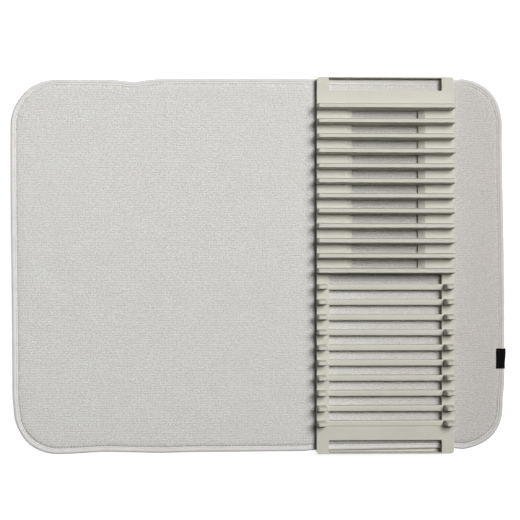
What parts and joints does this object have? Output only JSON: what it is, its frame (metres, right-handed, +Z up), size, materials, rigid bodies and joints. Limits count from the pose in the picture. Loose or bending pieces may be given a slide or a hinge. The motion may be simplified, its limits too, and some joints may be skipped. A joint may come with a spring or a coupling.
{
  "type": "dish drying mat with rack",
  "caption": "Soft padded drying mat with a bound edge and a moulded plate rack clipped across it; the mat folds over the rack for storage.",
  "frame": {"origin": "centre of the mat's underside, on the worktop", "axes": "+X along the mat's long way towards the rack, +Y to the back edge, +Z up"},
  "size_m": [0.6114, 0.4646, 0.0293],
  "materials": {
    "terry_cloth": "fine microfibre terry",
    "foam": "open-cell foam",
    "backing_cloth": "flat knitted backing",
    "binding_tape": "smooth woven tape",
    "seam_thread": "twisted thread",
    "tag_tape": "black woven tape",
    "rack_plastic": "satin moulded polypropylene"
  },
  "bodies": {
    "base_panel": {"base_top_cloth": "terry_cloth", "base_foam_core": "foam", "base_backing_cloth": "backing_cloth", "base_edge_binding": "binding_tape", "base_seam_thread": "seam_thread", "side_tag": "tag_tape"},
    "spine_panel": {"spine_top_cloth": "terry_cloth", "spine_foam_core": "foam", "spine_backing_cloth": "backing_cloth", "spine_edge_binding": "binding_tape", "spine_seam_thread": "seam_thread"},
    "middle_panel": {"middle_top_cloth": "terry_cloth", "middle_foam_core": "foam", "middle_backing_cloth": "backing_cloth", "middle_edge_binding": "binding_tape", "middle_seam_thread": "seam_thread"},
    "outer_panel": {"outer_top_cloth": "terry_cloth", "outer_foam_core": "foam", "outer_backing_cloth": "backing_cloth", "outer_edge_binding": "binding_tape", "outer_seam_thread": "seam_thread"},
    "rack": {"rack_back_end_plate": "rack_plastic", "rack_front_end_plate": "rack_plastic", "rack_back_clip": "rack_plastic", "rack_front_clip": "rack_plastic", "rack_left_rail": "rack_plastic", "rack_right_rail": "rack_plastic", "rack_left_tray_plate": "rack_plastic", "rack_right_tray_plate": "rack_plastic", "rack_ribs": "rack_plastic", "rack_crossbars": "rack_plastic", "rack_left_pegs": "rack_plastic", "rack_right_pegs": "rack_plastic"}
  },
  "joints": [
    {"name": "rack_slide", "type": "slide", "parent": "base_panel", "child": "rack", "axis": [1, 0, 0], "range_m": [0, 0.235]},
    {"name": "spine_fold", "type": "hinge", "parent": "base_panel", "child": "spine_panel", "pos_m": [0.0674, 0, 0.0063], "axis": [0, 1, 0], "range_deg": [0, 90]},
    {"name": "cover_fold", "type": "hinge", "parent": "spine_panel", "child": "middle_panel", "pos_m": [0.0368, 0, 0.0063], "axis": [0, 1, 0], "range_deg": [0, 90]},
    {"name": "outer_fold", "type": "hinge", "parent": "middle_panel", "child": "outer_panel", "pos_m": [-0.1363, 0, 0.0063], "axis": [0, 1, 0], "range_deg": [0, 180]}
  ],
  "couplings": [
    {"joint": "cover_fold", "follows": "spine_fold", "ratio": 1}
  ]
}
